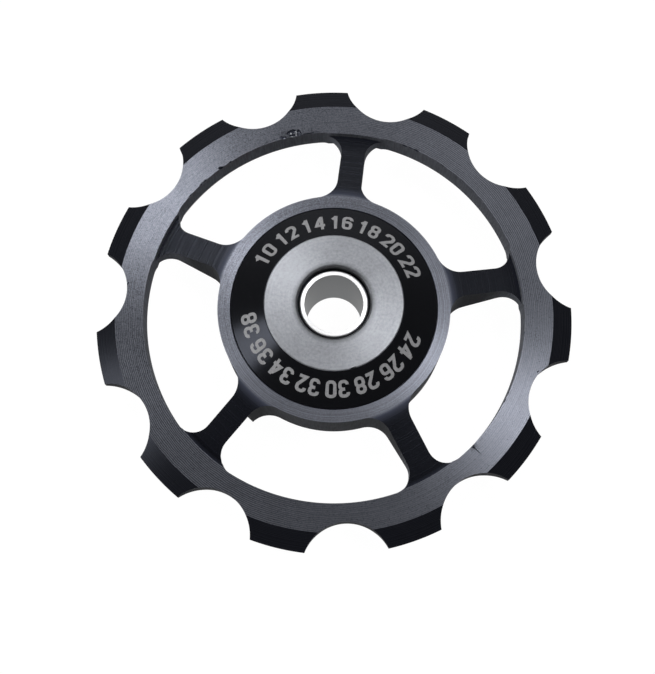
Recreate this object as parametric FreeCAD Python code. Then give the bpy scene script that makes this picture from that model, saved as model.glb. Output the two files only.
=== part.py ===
"""Derailleur jockey wheel on a sealed ball bearing.

Millimetres. The wheel lies flat: +Z runs along the axle bore towards the front
face, the origin is the centre of the bore, half way through the wheel, and +X
is the photograph's right. The wheel body, the bearing's outer ring and its
seals turn about Z. The sleeve, the inner ring, the covers and the side washers
stand still, clamped between the two plates that hold the wheel.
"""
import math
import os

import FreeCAD
import Part

# Chain and teeth. The rollers sit on the pitch circle that the chain gives.
TEETH = 11
CHAIN_PITCH = 12.7
ROLLER_D = 7.75
ROLLER_CLEARANCE = 0.105
TOOTH_HEIGHT = 2.69
TIP_THICKNESS = 0.8
FIRST_NOTCH_DEG = 11.1

# Rim: a flat band between the tooth bevels and the turned recess. The wall is
# what is left between the bottom of a roller seat and the recess.
RIM_THICKNESS = 2.4
RIM_WALL = 1.74
RIM_FACE_WIDTH = 2.65

# Spokes: milled out of a web that tapers from the hub to the rim. The windows cut
# a little past the recess, into the rim's wall.
SPOKES = 5
FIRST_SPOKE_DEG = 11.1
SPOKE_WIDTH = 2.16
WEB_THICKNESS_AT_RIM = 1.1
WINDOW_OVERCUT = 0.13
WINDOW_OUTER_CORNER_R = 1.75
WINDOW_INNER_CORNER_R = 2.0

# Hub of the wheel body, with a shallow seat round the bearing for each cover.
HUB_OD = 20.4
HUB_WIDTH = 5.58
HUB_RING_WIDTH = 1.1
HUB_EDGE_R = 1.6
COVER_SEAT_DEPTH = 0.54

# Bearing, 6 x 15 x 5, with ceramic balls in a crown cage. The balls run half way
# between bore and outside, and the rings' shoulders leave a gap round their circle.
BEARING_BORE = 6.0
BEARING_OD = 15.0
BEARING_WIDTH = 5.0
RING_CORNER = 0.2
SHOULDER_GAP = 1.5
BALLS = 8
BALL_D = 2.381
RACE_CONFORMITY = 0.53
RACE_CLEARANCE = 0.03

# Crown cage: a ring with open pockets, and prongs on its front side.
CAGE_WALL = 1.1
CAGE_CLEARANCE = 0.08
CAGE_BASE = 0.3
CAGE_PRONG_HEIGHT = 0.55
CAGE_SLOT_WIDTH = 0.4
CAGE_SLOT_DEPTH = 0.8

# Seals: rubber discs seated on a step in the outer ring, with a thin lip inside.
SEAL_THICKNESS = 0.5
SEAL_RECESS = 0.06
SEAL_SEAT_STEP = 0.3
SEAL_LIP_CLEARANCE = 0.06
SEAL_LIP_WIDTH = 0.3
SEAL_LIP_THICKNESS = 0.25

# Axle sleeve and side washers.
SLEEVE_BORE = 5.1
SLEEVE_FIT_CLEARANCE = 0.015
SLEEVE_RECESS = 0.535
SLEEVE_CHAMFER = 0.14
WIDTH_OVER_WASHERS = 8.87
WASHER_OD = 12.1
WASHER_HOLE_D = 6.36
WASHER_THICKNESS = 0.84
WASHER_EDGE = 0.1

# Covers: shallow turned cones over the bearing, clear of everything that turns.
COVER_GAP = 0.07
COVER_FLOOR_GAP = 0.1
COVER_SKIRT_WIDTH = 0.83
COVER_RUNNING_GAP = 0.2
COVER_LIP = 0.04

# An edge is the one sought if it lies this close, as a share of the hub.
EDGE_MATCH = 0.0005

ORIGIN = FreeCAD.Vector(0, 0, 0)
AXIS = FreeCAD.Vector(0, 0, 1)

# Radii and heights that follow from the sizes above.
pitch_r = CHAIN_PITCH / (2 * math.sin(math.pi / TEETH))
notch_r = ROLLER_D / 2 + ROLLER_CLEARANCE
tip_r = pitch_r - notch_r + TOOTH_HEIGHT
rim_inner_r = pitch_r - notch_r - RIM_WALL
rim_face_r = rim_inner_r + RIM_FACE_WIDTH
hub_r = HUB_OD / 2
hub_half = HUB_WIDTH / 2
cover_seat_r = hub_r - HUB_RING_WIDTH
cover_seat_z = hub_half - COVER_SEAT_DEPTH
bearing_r = BEARING_OD / 2
bearing_half = BEARING_WIDTH / 2
ball_r = BALL_D / 2
ball_circle_r = (BEARING_BORE + BEARING_OD) / 4
inner_shoulder_r = ball_circle_r - SHOULDER_GAP / 2
outer_shoulder_r = ball_circle_r + SHOULDER_GAP / 2
seal_outer_r = outer_shoulder_r + SEAL_SEAT_STEP
seal_front = bearing_half - SEAL_RECESS
seal_back = seal_front - SEAL_THICKNESS
sleeve_r = BEARING_BORE / 2 - SLEEVE_FIT_CLEARANCE
washer_face = WIDTH_OVER_WASHERS / 2
washer_back = washer_face - WASHER_THICKNESS
washer_r = WASHER_OD / 2


def polar(radius, angle, z=0.0):
    """Point at a radius and an angle in radians."""
    return FreeCAD.Vector(radius * math.cos(angle), radius * math.sin(angle), z)


def even_angles(count, first_deg):
    """Evenly spaced angles round the axle, in radians."""
    return [math.radians(first_deg) + 2 * math.pi * i / count for i in range(count)]


def turned(outline):
    """Solid of revolution about Z from its (radius, height) corners."""
    points = [FreeCAD.Vector(r, 0, z) for r, z in outline]
    face = Part.Face(Part.makePolygon(points + points[:1]))
    return face.revolve(ORIGIN, AXIS, 360)


def turned_both_sides(front_outline):
    """Solid of revolution whose rear half mirrors its front outline."""
    rear_outline = [(r, -z) for r, z in reversed(front_outline)]
    return turned(front_outline + rear_outline)


def to_rear(front_piece):
    """The matching piece on the rear side."""
    return front_piece.mirror(ORIGIN, AXIS)


def wheel_blank():
    """Wheel body as it leaves the lathe, before windows and teeth are milled."""
    web_half = WEB_THICKNESS_AT_RIM / 2
    blank = turned_both_sides([
        (bearing_r, cover_seat_z),
        (cover_seat_r, cover_seat_z),
        (cover_seat_r, hub_half),
        (hub_r, hub_half),
        (rim_inner_r, web_half),
        (rim_inner_r, RIM_THICKNESS / 2),
        (rim_face_r, RIM_THICKNESS / 2),
        (tip_r, TIP_THICKNESS / 2),
    ])
    shoulders = []
    for edge in blank.Edges:
        box = edge.BoundBox
        off_corner = max(abs(box.XMax - hub_r), abs(abs(box.ZMax) - hub_half), box.ZLength)
        if off_corner < EDGE_MATCH * HUB_OD:
            shoulders.append(edge)
    return blank.makeFillet(HUB_EDGE_R, shoulders)


def window_prism(spoke_angle):
    """Cutter for the window that follows a spoke, with rounded corners."""
    half_width = SPOKE_WIDTH / 2
    outer_r = rim_inner_r + WINDOW_OVERCUT
    next_spoke = 2 * math.pi / SPOKES
    outer_y = half_width + WINDOW_OUTER_CORNER_R
    outer_x = math.sqrt((outer_r - WINDOW_OUTER_CORNER_R) ** 2 - outer_y ** 2)
    inner_y = half_width + WINDOW_INNER_CORNER_R
    inner_x = math.sqrt((hub_r + WINDOW_INNER_CORNER_R) ** 2 - inner_y ** 2)
    outer_turn = math.atan2(outer_y, outer_x)
    inner_turn = math.atan2(inner_y, inner_x)
    outer_mid = (outer_turn - math.pi / 2) / 2
    inner_mid = (inner_turn + math.pi + math.pi * 3 / 2) / 2

    def mirrored(point):
        radius = math.hypot(point.x, point.y)
        return polar(radius, next_spoke - math.atan2(point.y, point.x))

    side_out = FreeCAD.Vector(outer_x, half_width, 0)
    side_in = FreeCAD.Vector(inner_x, half_width, 0)
    outer_start = polar(outer_r, outer_turn)
    inner_start = polar(hub_r, inner_turn)
    outer_corner = FreeCAD.Vector(outer_x, outer_y, 0) + polar(WINDOW_OUTER_CORNER_R, outer_mid)
    inner_corner = FreeCAD.Vector(inner_x, inner_y, 0) + polar(WINDOW_INNER_CORNER_R, inner_mid)
    edges = [
        Part.LineSegment(side_in, side_out),
        Part.Arc(side_out, outer_corner, outer_start),
        Part.Arc(outer_start, polar(outer_r, next_spoke / 2), mirrored(outer_start)),
        Part.Arc(mirrored(outer_start), mirrored(outer_corner), mirrored(side_out)),
        Part.LineSegment(mirrored(side_out), mirrored(side_in)),
        Part.Arc(mirrored(side_in), mirrored(inner_corner), mirrored(inner_start)),
        Part.Arc(mirrored(inner_start), polar(hub_r, next_spoke / 2), inner_start),
        Part.Arc(inner_start, inner_corner, side_in),
    ]
    outline = Part.Wire([edge.toShape() for edge in edges])
    prism = Part.Face(outline).extrude(AXIS * (2 * HUB_WIDTH))
    prism.translate(AXIS * -HUB_WIDTH)
    prism.rotate(ORIGIN, AXIS, math.degrees(spoke_angle))
    return prism


def notch_cutter(angle):
    """Cutter for the seat of one chain roller."""
    start = polar(pitch_r, angle, -RIM_THICKNESS)
    return Part.makeCylinder(notch_r, 2 * RIM_THICKNESS, start, AXIS)


def toothed_wheel():
    """One machined piece: hub, tapered spokes, rim and bevelled teeth."""
    windows = [window_prism(angle) for angle in even_angles(SPOKES, FIRST_SPOKE_DEG)]
    notches = [notch_cutter(angle) for angle in even_angles(TEETH, FIRST_NOTCH_DEG)]
    return wheel_blank().cut(windows).cut(notches)


def race_groove(bottom_r, side):
    """Ball groove with its bottom at a radius, on the inner (-1) or outer (1) ring."""
    groove_r = RACE_CONFORMITY * BALL_D
    centre = FreeCAD.Vector(bottom_r - side * groove_r, 0, 0)
    section = Part.makeCircle(groove_r, centre, FreeCAD.Vector(0, -1, 0))
    if side > 0:
        section.rotate(centre, FreeCAD.Vector(0, 1, 0), 180)
    return Part.Face(Part.Wire(section)).revolve(ORIGIN, AXIS, 360)


def bearing_inner_ring():
    """Inner ring, with a groove on its outside."""
    bore_r = BEARING_BORE / 2
    ring = turned_both_sides([
        (bore_r, bearing_half - RING_CORNER),
        (bore_r + RING_CORNER, bearing_half),
        (inner_shoulder_r, bearing_half),
    ])
    return ring.cut(race_groove(ball_circle_r - ball_r - RACE_CLEARANCE, -1))


def bearing_outer_ring():
    """Outer ring, with a groove on its inside and a step for each seal."""
    ring = turned_both_sides([
        (outer_shoulder_r, seal_back),
        (seal_outer_r, seal_back),
        (seal_outer_r, bearing_half),
        (bearing_r - RING_CORNER, bearing_half),
        (bearing_r, bearing_half - RING_CORNER),
    ])
    return ring.cut(race_groove(ball_circle_r + ball_r + RACE_CLEARANCE, 1))


def ball_cage():
    """Crown cage: round pockets open to the front, with a slot between prongs."""
    pocket_r = ball_r + CAGE_CLEARANCE
    inner_r = ball_circle_r - CAGE_WALL / 2
    outer_r = ball_circle_r + CAGE_WALL / 2
    base_z = -pocket_r - CAGE_BASE
    cage = turned([
        (inner_r, base_z),
        (outer_r, base_z),
        (outer_r, CAGE_PRONG_HEIGHT),
        (inner_r, CAGE_PRONG_HEIGHT),
    ])
    pockets = []
    for angle in even_angles(BALLS, 0):
        start = polar(inner_r - CAGE_WALL, angle)
        pockets.append(Part.makeCylinder(pocket_r, 3 * CAGE_WALL, start, polar(1, angle)))
    slots = []
    for angle in even_angles(BALLS, 180 / BALLS):
        corner = FreeCAD.Vector(0, -CAGE_SLOT_WIDTH / 2, CAGE_PRONG_HEIGHT - CAGE_SLOT_DEPTH)
        slot = Part.makeBox(outer_r + CAGE_WALL, CAGE_SLOT_WIDTH, 2 * CAGE_SLOT_DEPTH, corner)
        slot.rotate(ORIGIN, AXIS, math.degrees(angle))
        slots.append(slot)
    return cage.cut(pockets).cut(slots)


def bearing_ball(angle):
    """One ceramic ball, at its place on the ball circle."""
    return Part.makeSphere(ball_r, polar(ball_circle_r, angle))


def seal():
    """Front seal: a flat disc on the outer ring's step, thinner at its inner lip."""
    lip_r = inner_shoulder_r + SEAL_LIP_CLEARANCE
    lip_front = seal_back + SEAL_LIP_THICKNESS
    return turned([
        (lip_r, seal_back),
        (seal_outer_r, seal_back),
        (seal_outer_r, seal_front),
        (lip_r + SEAL_LIP_WIDTH, seal_front),
        (lip_r, lip_front),
    ])


def axle_sleeve():
    """Plain sleeve that the bolt passes through, chamfered at both ends."""
    end = washer_face - SLEEVE_RECESS
    return turned_both_sides([
        (SLEEVE_BORE / 2, end),
        (sleeve_r - SLEEVE_CHAMFER, end),
        (sleeve_r, end - SLEEVE_CHAMFER),
    ])


def cover():
    """Front cover: a cone with a pocket for the washer and a boss on the inner ring."""
    skirt_r = cover_seat_r - COVER_GAP
    inside_z = bearing_half + COVER_RUNNING_GAP
    return turned([
        (sleeve_r + SLEEVE_FIT_CLEARANCE, bearing_half),
        (inner_shoulder_r, bearing_half),
        (inner_shoulder_r, inside_z),
        (skirt_r - COVER_SKIRT_WIDTH, inside_z),
        (skirt_r - COVER_SKIRT_WIDTH, cover_seat_z + COVER_FLOOR_GAP),
        (skirt_r, cover_seat_z + COVER_FLOOR_GAP),
        (skirt_r, hub_half),
        (washer_r + COVER_LIP, washer_face - COVER_LIP),
        (washer_r, washer_face - COVER_LIP),
        (washer_r, washer_back),
        (sleeve_r + SLEEVE_FIT_CLEARANCE, washer_back),
    ])


def side_washer():
    """Front side washer, pressed into the cover's pocket."""
    return turned([
        (WASHER_HOLE_D / 2, washer_back),
        (washer_r, washer_back),
        (washer_r, washer_face - WASHER_EDGE),
        (washer_r - WASHER_EDGE, washer_face),
        (WASHER_HOLE_D / 2, washer_face),
    ])


def pieces():
    """Every piece of the jockey wheel by its name."""
    shapes = {
        "toothed_wheel": toothed_wheel(),
        "bearing_outer_ring": bearing_outer_ring(),
        "bearing_inner_ring": bearing_inner_ring(),
        "ball_cage": ball_cage(),
        "axle_sleeve": axle_sleeve(),
    }
    for number, angle in enumerate(even_angles(BALLS, 0), start=1):
        shapes[f"bearing_ball_{number}"] = bearing_ball(angle)
    paired = {"seal": seal(), "cover": cover(), "washer": side_washer()}
    for name, front_piece in paired.items():
        shapes[f"front_{name}"] = front_piece
        shapes[f"rear_{name}"] = to_rear(front_piece)
    return shapes


os.makedirs("parts", exist_ok=True)
for name, shape in pieces().items():
    shape.exportStep(f"parts/{name}.step")
    print(f"{name}: {shape.Volume:.2f} mm3, valid {shape.isValid()}")
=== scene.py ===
"""Derailleur jockey wheel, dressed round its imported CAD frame.

Sizes in the classes are millimetres and become metres where a mesh is made, apart
from those of the studio that say metres. The wheel lies flat on the studio floor,
its axle along Z and its front face up.
"""

import logging
import math
import random
from dataclasses import dataclass
from enum import Enum
from functools import partial

import bmesh
import bpy
from mathutils import Matrix, Vector

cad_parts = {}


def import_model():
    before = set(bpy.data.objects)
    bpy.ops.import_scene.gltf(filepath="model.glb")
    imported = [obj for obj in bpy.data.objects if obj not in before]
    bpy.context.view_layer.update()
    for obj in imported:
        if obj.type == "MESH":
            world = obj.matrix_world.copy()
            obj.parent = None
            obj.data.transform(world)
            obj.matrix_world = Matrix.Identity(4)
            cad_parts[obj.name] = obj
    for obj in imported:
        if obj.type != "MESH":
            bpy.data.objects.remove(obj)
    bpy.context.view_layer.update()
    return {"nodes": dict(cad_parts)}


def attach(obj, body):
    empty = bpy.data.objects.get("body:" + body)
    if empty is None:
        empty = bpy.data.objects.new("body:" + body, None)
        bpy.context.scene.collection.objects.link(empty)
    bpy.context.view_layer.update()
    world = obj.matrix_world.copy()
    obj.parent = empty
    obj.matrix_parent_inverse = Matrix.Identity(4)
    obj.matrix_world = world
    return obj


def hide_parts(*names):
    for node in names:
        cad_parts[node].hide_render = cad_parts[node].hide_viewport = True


LOG = logging.getLogger("jockey_wheel")
# Noise that bends the lathe marks of every finish, per millimetre.
RING_WAVER_PER_MM = 0.35
MM = 0.001
PHOTO_LONG_SIDE_PX = 674
SMOOTH_UNDER_DEG = 35.0
SMOOTH_UNDER_DEG_ON_WHEEL = 16.0
# Watts per square metre of an area lamp whose surface looks as bright as 1.
WATTS_PER_RADIANCE = 4.0

Colour = tuple[float, float, float]
Socket = bpy.types.NodeSocket
Number = Socket | float
SOCKET_KINDS = {int: "Int", float: "Float", bpy.types.Object: "Object", bpy.types.Material: "Material"}


class Body(Enum):
    """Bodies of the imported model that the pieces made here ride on."""

    WHEEL = "wheel"
    AXLE = "axle"


class Side(Enum):
    """The two faces of the wheel, as the sign of their height."""

    FRONT = 1
    REAR = -1


class Slot(Enum):
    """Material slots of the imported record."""

    BLACK_ANODISED = "black_anodised"
    BLACK_COVER = "black_cover"
    WASHER_STEEL = "washer_steel"
    SLEEVE_STEEL = "sleeve_steel"


def fill(tree: bpy.types.NodeTree, node: bpy.types.Node, inputs: dict) -> None:
    """Links or sets a node's inputs.

    Args:
        tree: the node's tree.
        node: the node.
        inputs: sockets, numbers, colours or other plain values, by input name or number.
    """
    for key, value in inputs.items():
        socket = node.inputs[key]
        if isinstance(value, Socket):
            tree.links.new(value, socket)
        elif socket.type == "RGBA":
            socket.default_value = (*value, 1.0)
        else:
            socket.default_value = value


def add_node(
    tree: bpy.types.NodeTree, kind: str, inputs: dict, out: int | str = 0, **options: object
) -> Socket:
    """Adds one node to a tree and fills its inputs.

    Args:
        tree: the tree.
        kind: node type.
        inputs: values or sockets by input name or number.
        out: which output to return.
        options: properties of the node itself.

    Returns:
        The chosen output socket.
    """
    node = tree.nodes.new(kind)
    for option, value in options.items():
        setattr(node, option, value)
    fill(tree, node, inputs)
    return node.outputs[out]


class Shading:
    """A new material and the few node moves that every finish here is made of."""

    def __init__(self, name: str) -> None:
        """Starts a material with a principled shader and its output.

        Args:
            name: name of the material.
        """
        self.material = bpy.data.materials.new(name)
        self.material.use_nodes = True
        self.tree = self.material.node_tree
        self.tree.nodes.clear()
        output = self.tree.nodes.new("ShaderNodeOutputMaterial")
        self.shader = self.tree.nodes.new("ShaderNodeBsdfPrincipled")
        self.tree.links.new(self.shader.outputs["BSDF"], output.inputs["Surface"])
        self.place = self.tree.nodes.new("ShaderNodeTexCoord").outputs["Object"]
        self.put = partial(add_node, self.tree)

    def surface(self, **values: Number | Colour) -> None:
        """Links or sets the shader's own sockets, with underscores for spaces."""
        fill(self.tree, self.shader, {name.replace("_", " "): value for name, value in values.items()})

    def sum(self, operation: str, *terms: Number) -> Socket:
        """One step of arithmetic on numbers or sockets."""
        return self.put("ShaderNodeMath", dict(enumerate(terms)), operation=operation)

    def times(self, first: Number, second: Number) -> Socket:
        """Product of two numbers or sockets."""
        return self.sum("MULTIPLY", first, second)

    def plus(self, first: Number, second: Number) -> Socket:
        """Sum of two numbers or sockets."""
        return self.sum("ADD", first, second)

    def scaled(self, colour: Colour, tone: Socket) -> Socket:
        """A colour made lighter or darker by a factor."""
        return self.put("ShaderNodeVectorMath", {0: colour, "Scale": tone}, operation="SCALE")

    def height_of(self, vector: Socket) -> Socket:
        """The upright component of a vector."""
        return self.put("ShaderNodeSeparateXYZ", {0: vector}, out=2)

    def flat_place(self) -> Socket:
        """The place without its height, which points away from the axle.

        Returns:
            The place, with a height of 0.
        """
        node = self.tree.nodes.new("ShaderNodeSeparateXYZ")
        self.tree.links.new(self.place, node.inputs[0])
        return self.put("ShaderNodeCombineXYZ", {"X": node.outputs[0], "Y": node.outputs[1]})

    def radius(self) -> Socket:
        """Distance from the axle in millimetres."""
        length = self.put("ShaderNodeVectorMath", {0: self.flat_place()}, out="Value", operation="LENGTH")
        return self.times(length, 1 / MM)

    def outward(self) -> Socket:
        """Direction away from the axle, across the lathe's grooves.

        Returns:
            The direction, in world space.
        """
        return self.put(
            "ShaderNodeVectorTransform",
            {0: self.flat_place()},
            vector_type="VECTOR",
            convert_from="OBJECT",
            convert_to="WORLD",
        )

    def noise(self, per_mm: float, detail: float = 2.0, rough: float = 0.5) -> Socket:
        """Even noise in space."""
        inputs = {"Vector": self.place, "Scale": per_mm / MM, "Detail": detail, "Roughness": rough}
        return self.put("ShaderNodeTexNoise", inputs, out="Fac")

    def rings(self, per_mm: float, detail: float = 1.0, waver: float = 0.0) -> Socket:
        """Noise that depends on the radius alone, as lathe marks do.

        Args:
            per_mm: grooves per millimetre.
            detail: octaves of the noise.
            waver: how far a slow noise moves the grooves, in grooves.

        Returns:
            Height of the marks, about one half on the average.
        """
        turns = self.times(self.radius(), per_mm)
        if waver:
            turns = self.plus(turns, self.times(self.noise(RING_WAVER_PER_MM, 1.0), waver))
        inputs = {"W": turns, "Scale": 1.0, "Detail": detail}
        return self.put("ShaderNodeTexNoise", inputs, out="Fac", noise_dimensions="1D")

    def span(
        self,
        value: Socket,
        low: float,
        high: float,
        to_low: float = 0.0,
        to_high: float = 1.0,
        smooth: bool = False,
    ) -> Socket:
        """Maps one range of a value to another, held at both ends.

        Args:
            value: the value.
            low, high: ends of its range.
            to_low, to_high: what the ends are mapped to.
            smooth: whether the way between them eases in and out.

        Returns:
            The mapped value.
        """
        kind = "SMOOTHSTEP" if smooth else "LINEAR"
        inputs = {"Value": value, "From Min": low, "From Max": high, "To Min": to_low, "To Max": to_high}
        return self.put("ShaderNodeMapRange", inputs, out="Result", interpolation_type=kind)

    def vary(self, noise: Socket, low: float, high: float, reach: float = 0.2) -> Socket:
        """Maps a noise's usual range, one half and this reach to both sides, to another."""
        return self.span(noise, 0.5 - reach, 0.5 + reach, low, high)

    def between(self, share: Socket, none: float, full: float) -> Socket:
        """The first value where the share is 0, the second where it is 1."""
        return self.span(share, 0.0, 1.0, none, full)

    def blend(self, share: Socket, first: Socket | Colour, second: Socket | Colour) -> Socket:
        """Mixes two colours, plain or linked."""
        return self.put("ShaderNodeMix", {"Factor": share, 6: first, 7: second}, out=2, data_type="RGBA")

    def bump(self, height: Socket, depth_mm: float) -> None:
        """Turns a height into the shader's normal."""
        self.surface(Normal=self.put("ShaderNodeBump", {"Height": height, "Distance": depth_mm * MM}))


@dataclass(frozen=True)
class WornPatch:
    """A rubbed place on a face.

    x, y: its centre in millimetres.
    reach: its radius in millimetres.
    """

    x: float
    y: float
    reach: float


@dataclass(frozen=True)
class AnodisedTurning:
    """Black anodised aluminium off the lathe, on the rim's face, the hub and the web.

    Flat lands are grey with a sparkling grain, lighter on the hub, and stretch a lamp
    into two streaks; the grain's sparkle and the grooves' strength are painted light
    that follows the streak. The sloping web is near black and keeps the lathe's fine
    lines, with painted highlights on the lines, a painted sheen where it meets the hub
    and painted light in its corner at the rim. Patches are rubbed darker, and flakes
    show bare metal.

    flat_from, flat_to: upright part of the normal where a slope turns into a land.
    streak: direction from the axle in which the left lamp's streak lies.
    """

    name: str
    land: Colour = (0.114, 0.120, 0.141)
    slope: Colour = (0.0050, 0.0055, 0.0080)
    bare: Colour = (0.38, 0.39, 0.42)
    tint: Colour = (0.76, 0.82, 1.0)
    flat_from: float = 0.95
    flat_to: float = 0.999
    land_metal: float = 0.85
    land_rough: float = 0.31
    slope_rough: float = 0.27
    rough_give: float = 0.04
    anisotropy: float = 0.9
    specular: float = 0.28
    hub_r: float = 10.5
    hub_gain: float = 1.72
    hub_rough: float = 0.13
    hub_fade: float = 0.4
    web_fade: float = 0.3
    web_end: float = 0.02
    root_inset: float = 0.2
    root_width: float = 1.15
    root_gain: float = 13.0
    root_power: float = 2.4
    corner_width: float = 0.35
    corner_gain: float = 4.0
    groove_pitch: float = 0.16
    groove_waver: float = 1.6
    groove_waver_per_mm: float = 0.8
    grooves_along_streak: float = 0.25
    groove_tone: float = 0.5
    hub_groove_tone: float = 0.175
    streak: tuple[float, float, float] = (-0.64, 0.77, 0.0)
    web_inner_r: float = 10.4
    web_outer_r: float = 16.82
    lines_per_mm: float = 7.0
    line_gain: float = 1.0
    line_depth: float = 0.06
    line_waver: float = 0.5
    line_dark: float = 0.55
    line_bright: float = 0.72
    far_line_share: float = 0.4
    scratches_per_mm: float = 5.0
    scratch_tone: float = 0.13
    scratch_waver: float = 1.4
    rim_scratch_share: float = 0.5
    cloud_per_mm: float = 0.45
    cloud_tone: float = 0.05
    grain_per_mm: float = 8.0
    grain_tone: float = 0.25
    grain_depth: float = 0.0004
    slope_grain_tone: float = 0.08
    slope_grain_share: float = 0.02
    patch_ragged: float = 0.35
    patch_ragged_per_mm: float = 4.0
    rubbed_tone: float = 0.72
    rubbed_full: float = 0.5
    rubbed_end: float = 1.1
    flake_full: float = 0.9
    patches: tuple[WornPatch, ...] = ()
    flakes: tuple[WornPatch, ...] = ()

    def gap(self, s: Shading, patch: WornPatch) -> Socket:
        """Distance from a patch's centre over its radius, with a ragged edge.

        Args:
            s: the material.
            patch: the patch.

        Returns:
            The distance, about 1 at the patch's edge.
        """
        centre = (patch.x * MM, patch.y * MM, 0.0)
        gap = s.put("ShaderNodeVectorMath", {0: s.flat_place(), 1: centre}, out="Value", operation="DISTANCE")
        ragged = s.vary(s.noise(self.patch_ragged_per_mm), -self.patch_ragged, self.patch_ragged)
        return s.plus(s.sum("DIVIDE", gap, patch.reach * MM), ragged)

    def grooves(self, s: Shading, radius: Socket, along: Socket) -> Socket:
        """Even grooves of the last cut, with painted light: faint where the lamps streak along them.

        Args:
            s: the material.
            radius: distance from the axle in millimetres.
            along: how far the direction from the axle is that of the streak, from -1 to 1.

        Returns:
            Height of the grooves, from -1 to 1.
        """
        waver = s.times(s.noise(self.groove_waver_per_mm), self.groove_waver)
        turns = s.plus(s.sum("DIVIDE", radius, self.groove_pitch), waver)
        wave = s.sum("SINE", s.times(turns, math.tau))
        aside = s.span(s.sum("ABSOLUTE", along), 0.3, 0.9, 1.0, self.grooves_along_streak, smooth=True)
        return s.times(wave, aside)

    def land_tone(self, s: Shading, radius: Socket, along: Socket, on_hub: Socket, grain: Socket) -> Socket:
        """Brightness of the flat lands, rubbed darker on the patches, with a painted highlight in the
        grain towards the lamp's streak.

        Args:
            s: the material.
            radius: distance from the axle in millimetres.
            along: how far the direction from the axle is that of the streak, from -1 to 1.
            on_hub: 1 on the hub and 0 on the rim.
            grain: the sparkling grain.

        Returns:
            Factor on the lands' colour.
        """
        faint = s.rings(self.scratches_per_mm, 2.0, waver=self.scratch_waver)
        faint = s.vary(faint, -self.scratch_tone, self.scratch_tone, 0.15)
        scratches = s.times(faint, s.between(on_hub, self.rim_scratch_share, 1.0))
        sparkle = s.vary(grain, -self.grain_tone, self.grain_tone, 0.15)
        # Painted highlight: the grain's sparkle is painted stronger towards the lamp's streak.
        tone = s.plus(s.times(sparkle, s.span(along, 0.0, 0.8, 0.6, 1.4)), scratches)
        tone = s.plus(tone, s.vary(s.noise(self.cloud_per_mm), 1 - self.cloud_tone, 1 + self.cloud_tone))
        groove_tone = s.between(on_hub, self.groove_tone, self.hub_groove_tone)
        # Grooves whose strength is painted light that follows the lamp's streak.
        tone = s.times(tone, s.plus(s.times(self.grooves(s, radius, along), groove_tone), 1.0))
        tone = s.times(tone, s.between(on_hub, 1.0, self.hub_gain))
        for patch in self.patches:
            gap = self.gap(s, patch)
            rub = s.span(gap, self.rubbed_full, self.rubbed_end, self.rubbed_tone, 1.0, smooth=True)
            tone = s.times(tone, rub)
        return tone

    def slope_tone(self, s: Shading, radius: Socket, grain: Socket, lines: Socket) -> Socket:
        """Brightness of the web, with painted light: a painted sheen where it meets the hub, painted
        light in its corner at the rim and painted highlights on the lathe's lines.

        Args:
            s: the material.
            radius: distance from the axle in millimetres.
            grain: the sparkling grain.
            lines: painted highlight on the lathe's lines.

        Returns:
            Factor on the web's colour.
        """
        tone = s.vary(grain, 1 - self.slope_grain_tone, 1 + self.slope_grain_tone)
        # Painted highlight on the lathe's lines.
        tone = s.plus(tone, s.times(lines, self.line_gain))
        # Painted sheen where the web meets the hub.
        root_from, root_to = self.web_inner_r - self.root_inset, self.web_inner_r + self.root_width
        root = s.span(radius, root_from, root_to, 1.0, 0.0)
        tone = s.plus(tone, s.times(s.sum("POWER", root, self.root_power), self.root_gain))
        # Painted light in the web's corner at the rim, where shade falls.
        corner_from = self.web_outer_r - self.corner_width
        return s.plus(tone, s.span(radius, corner_from, self.web_outer_r, 0.0, self.corner_gain))

    def make(self) -> bpy.types.Material:
        """Builds the material.

        Returns:
            The new material.
        """
        s = Shading(self.name)
        facing = s.tree.nodes.new("ShaderNodeTexCoord").outputs["Normal"]
        on_land = s.span(s.sum("ABSOLUTE", s.height_of(facing)), self.flat_from, self.flat_to, smooth=True)
        radius = s.radius()
        on_hub = s.span(radius, self.hub_r, self.hub_r + self.hub_fade, 1.0, 0.0)
        past_hub = s.span(radius, self.web_inner_r, self.web_inner_r + self.web_fade)
        before_rim = s.span(radius, self.web_outer_r - self.web_end, self.web_outer_r, 1.0, 0.0)
        on_web = s.times(past_hub, before_rim)
        away = s.put("ShaderNodeVectorMath", {0: s.flat_place()}, operation="NORMALIZE")
        along = s.put("ShaderNodeVectorMath", {0: away, 1: self.streak}, out="Value", operation="DOT_PRODUCT")
        grain = s.noise(self.grain_per_mm, 2.0, 0.8)
        lines = s.rings(self.lines_per_mm, 3.0, waver=self.line_waver)
        # Painted highlight: the lathe's lines are painted lighter, most towards the lamp's streak.
        line_share = s.times(s.span(along, 0.3, 0.8, self.far_line_share, 1.0), on_web)
        caught = s.span(lines, self.line_dark, self.line_bright, smooth=True)
        line_light = s.times(caught, line_share)

        slope = s.scaled(self.slope, self.slope_tone(s, radius, grain, line_light))
        land = s.scaled(self.land, self.land_tone(s, radius, along, on_hub, grain))
        colour = s.blend(on_land, slope, land)
        for flake in self.flakes:
            share = s.span(self.gap(s, flake), self.flake_full, 1.0, 1.0, 0.0)
            colour = s.blend(share, colour, self.bare)
        rough = s.between(on_land, self.slope_rough, self.land_rough)
        rough = s.plus(rough, s.between(on_hub, 0.0, self.hub_rough))
        rough = s.plus(rough, s.times(on_land, s.vary(grain, -self.rough_give, self.rough_give)))
        s.surface(
            Base_Color=colour,
            Metallic=s.times(on_land, self.land_metal),
            Roughness=rough,
            Tangent=s.outward(),
            Anisotropic=self.anisotropy,
            Specular_IOR_Level=self.specular,
            Specular_Tint=self.tint,
        )
        height = s.times(s.times(lines, line_share), self.line_depth)
        grain_depth = s.between(on_land, self.slope_grain_share * self.grain_depth, self.grain_depth)
        s.bump(s.plus(height, s.times(grain, grain_depth)), 1.0)
        return s.material


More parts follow.
